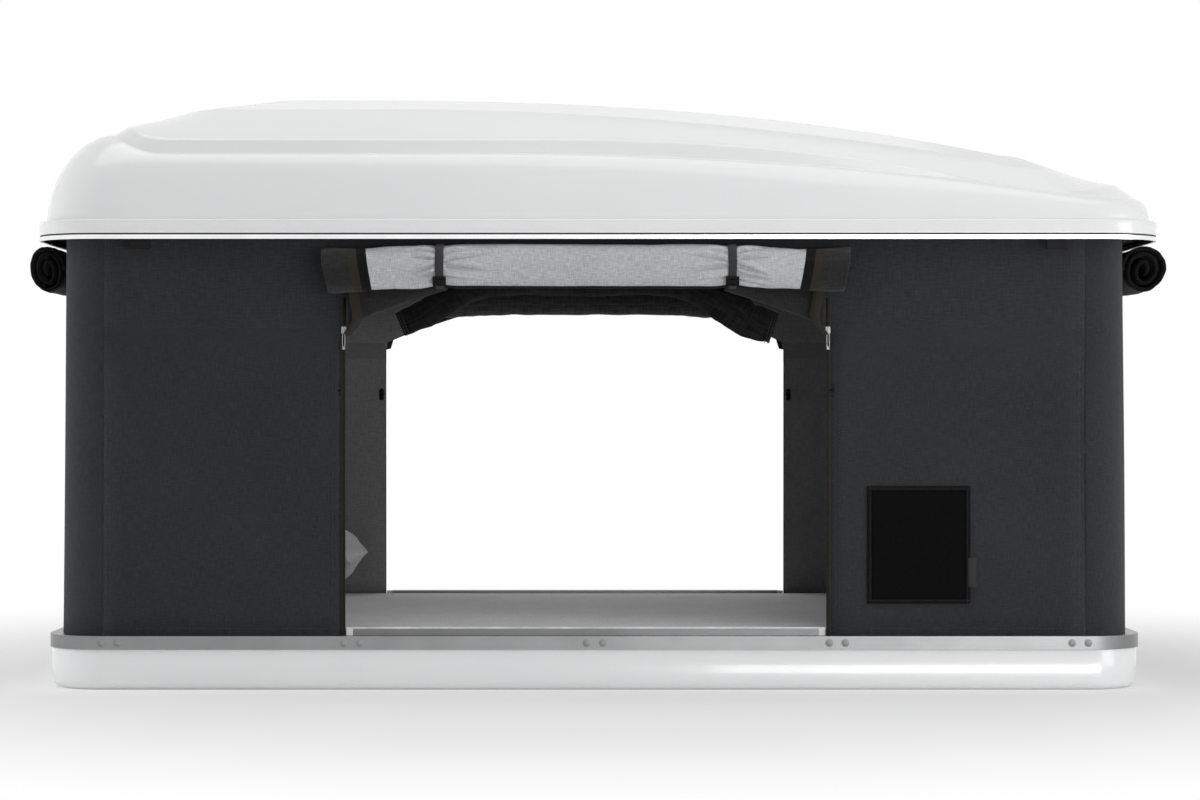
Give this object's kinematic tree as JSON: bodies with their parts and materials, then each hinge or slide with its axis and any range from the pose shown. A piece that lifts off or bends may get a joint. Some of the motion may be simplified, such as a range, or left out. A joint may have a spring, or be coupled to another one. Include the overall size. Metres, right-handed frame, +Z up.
{
  "type": "roof top tent",
  "caption": "Hard shell roof top tent standing open, with a white moulded roof on a scissor lift, dark fabric walls, rolled door flaps and a mattress in the base.",
  "frame": {"origin": "under the middle of the roof shell, on the plane of the base's lowest face", "axes": "+X to the foot end with the low nose, -Y to the side with the near door, +Z up"},
  "size_m": [2.1666, 1.3404, 1.118],
  "materials": {
    "gelcoat": "gloss",
    "plywood": "matte",
    "aluminium": "satin",
    "steel": "brushed",
    "cap_plastic": "matte",
    "black_plastic": "matte",
    "black_metal": "satin",
    "rubber": "matte",
    "wall_fabric": "woven",
    "net_fabric": "mesh",
    "flap_fabric": "melange weave",
    "webbing": "woven",
    "bed_fabric": "knit",
    "lining": "felt"
  },
  "bodies": {
    "base": {"lower_shell": "gelcoat", "floor_panel": "plywood", "base_rim": "aluminium", "rim_rivets": "steel", "rail_near": "aluminium", "rail_far": "aluminium", "rail_nuts": "steel", "sill_near": "aluminium", "sill_far": "aluminium", "sill_end_caps": "cap_plastic", "mattress": "bed_fabric", "pillow": "bed_fabric", "base_tracks": "aluminium", "base_gas_tubes": "black_metal", "near_wall": "wall_fabric", "far_wall": "wall_fabric", "head_wall": "wall_fabric", "foot_wall": "wall_fabric", "window_nets": "net_fabric", "door_roll_near": "flap_fabric", "door_roll_far": "flap_fabric", "window_roll_head": "wall_fabric", "window_roll_foot": "wall_fabric", "net_roll_near": "net_fabric", "net_roll_far": "net_fabric", "roll_straps": "webbing", "roll_buckles": "black_plastic", "zip_tapes": "webbing", "zip_sliders": "steel", "wall_patch": "wall_fabric", "tie_toggles": "black_plastic"},
    "head_arm_a": {"head_arm_a": "black_metal", "head_centre_pin": "steel"},
    "head_arm_b": {"head_arm_b": "black_metal"},
    "foot_arm_a": {"foot_arm_a": "black_metal", "foot_centre_pin": "steel"},
    "foot_arm_b": {"foot_arm_b": "black_metal"},
    "lid": {"lid_shell": "gelcoat", "lid_trim": "aluminium", "lid_bead": "rubber", "lid_seal": "rubber", "lid_frame": "aluminium", "lid_liner": "lining", "lid_tracks": "aluminium", "lid_gas_tubes": "black_metal", "catch_brackets": "black_metal"},
    "head_base_slide": {"head_base_slider": "black_plastic", "head_base_rod": "steel"},
    "head_lid_slide": {"head_lid_slider": "black_plastic", "head_lid_rod": "steel"},
    "foot_base_slide": {"foot_base_slider": "black_plastic", "foot_base_rod": "steel"},
    "foot_lid_slide": {"foot_lid_slider": "black_plastic", "foot_lid_rod": "steel"},
    "catch_near_head": {"catch_near_head": "black_plastic"},
    "catch_near_foot": {"catch_near_foot": "black_plastic"},
    "catch_far_head": {"catch_far_head": "black_plastic"},
    "catch_far_foot": {"catch_far_foot": "black_plastic"}
  },
  "joints": [
    {"name": "roof_lift", "type": "hinge", "parent": "base", "child": "head_arm_a", "pos_m": [-0.97, -0.53, 0.028], "axis": [1, 0, 0], "range_deg": [-47.4, 0], "stiffness_Nm_per_rad": 100, "springref_deg": 148.97, "deforming": ["near_wall", "far_wall", "head_wall", "foot_wall", "window_nets", "door_roll_near", "door_roll_far", "window_roll_head", "window_roll_foot", "net_roll_near", "net_roll_far", "roll_straps", "roll_buckles", "zip_tapes", "zip_sliders", "wall_patch", "tie_toggles"]},
    {"name": "head_crossing", "type": "hinge", "parent": "head_arm_a", "child": "head_arm_b", "pos_m": [-0.97, -0.20298, 0.44508], "axis": [1, 0, 0], "range_deg": [0, 94.8]},
    {"name": "head_roof_pivot", "type": "hinge", "parent": "head_arm_b", "child": "lid", "pos_m": [-0.97, -0.53, 0.86217], "axis": [1, 0, 0], "range_deg": [-47.4, 0]},
    {"name": "head_base_slide", "type": "hinge", "parent": "head_arm_b", "child": "head_base_slide", "pos_m": [-0.97, 0.12404, 0.028], "axis": [1, 0, 0], "range_deg": [-47.4, 0]},
    {"name": "head_lid_slide", "type": "hinge", "parent": "head_arm_a", "child": "head_lid_slide", "pos_m": [-0.97, 0.12404, 0.86217], "axis": [1, 0, 0], "range_deg": [0, 47.4]},
    {"name": "foot_lift", "type": "hinge", "parent": "base", "child": "foot_arm_a", "pos_m": [0.956, 0.53, 0.028], "axis": [1, 0, 0], "range_deg": [0, 47.4]},
    {"name": "foot_crossing", "type": "hinge", "parent": "foot_arm_a", "child": "foot_arm_b", "pos_m": [0.956, 0.20298, 0.44508], "axis": [1, 0, 0], "range_deg": [-94.8, 0]},
    {"name": "foot_base_slide", "type": "hinge", "parent": "foot_arm_b", "child": "foot_base_slide", "pos_m": [0.956, -0.12404, 0.028], "axis": [1, 0, 0], "range_deg": [0, 47.4]},
    {"name": "foot_lid_slide", "type": "hinge", "parent": "foot_arm_a", "child": "foot_lid_slide", "pos_m": [0.956, -0.12404, 0.86217], "axis": [1, 0, 0], "range_deg": [-47.4, 0]},
    {"name": "catch_near_head_swing", "type": "hinge", "parent": "lid", "child": "catch_near_head", "pos_m": [-0.848, -0.631, 0.842], "axis": [1, 0, 0], "range_deg": [0, 9], "stiffness_Nm_per_rad": 0.002, "springref_deg": -17.19},
    {"name": "catch_far_head_swing", "type": "hinge", "parent": "lid", "child": "catch_far_head", "pos_m": [-0.848, 0.631, 0.842], "axis": [-1, 0, 0], "range_deg": [0, 9], "stiffness_Nm_per_rad": 0.002, "springref_deg": -17.19},
    {"name": "catch_near_foot_swing", "type": "hinge", "parent": "lid", "child": "catch_near_foot", "pos_m": [0.848, -0.631, 0.842], "axis": [1, 0, 0], "range_deg": [0, 9], "stiffness_Nm_per_rad": 0.002, "springref_deg": -17.19},
    {"name": "catch_far_foot_swing", "type": "hinge", "parent": "lid", "child": "catch_far_foot", "pos_m": [0.848, 0.631, 0.842], "axis": [-1, 0, 0], "range_deg": [0, 9], "stiffness_Nm_per_rad": 0.002, "springref_deg": -17.19}
  ],
  "couplings": [
    {"joint": "head_crossing", "follows": "roof_lift", "ratio": -2},
    {"joint": "head_roof_pivot", "follows": "roof_lift", "ratio": 1},
    {"joint": "head_base_slide", "follows": "roof_lift", "ratio": 1},
    {"joint": "head_lid_slide", "follows": "roof_lift", "ratio": -1},
    {"joint": "foot_lift", "follows": "roof_lift", "ratio": -1},
    {"joint": "foot_crossing", "follows": "roof_lift", "ratio": 2},
    {"joint": "foot_base_slide", "follows": "roof_lift", "ratio": -1},
    {"joint": "foot_lid_slide", "follows": "roof_lift", "ratio": 1}
  ]
}
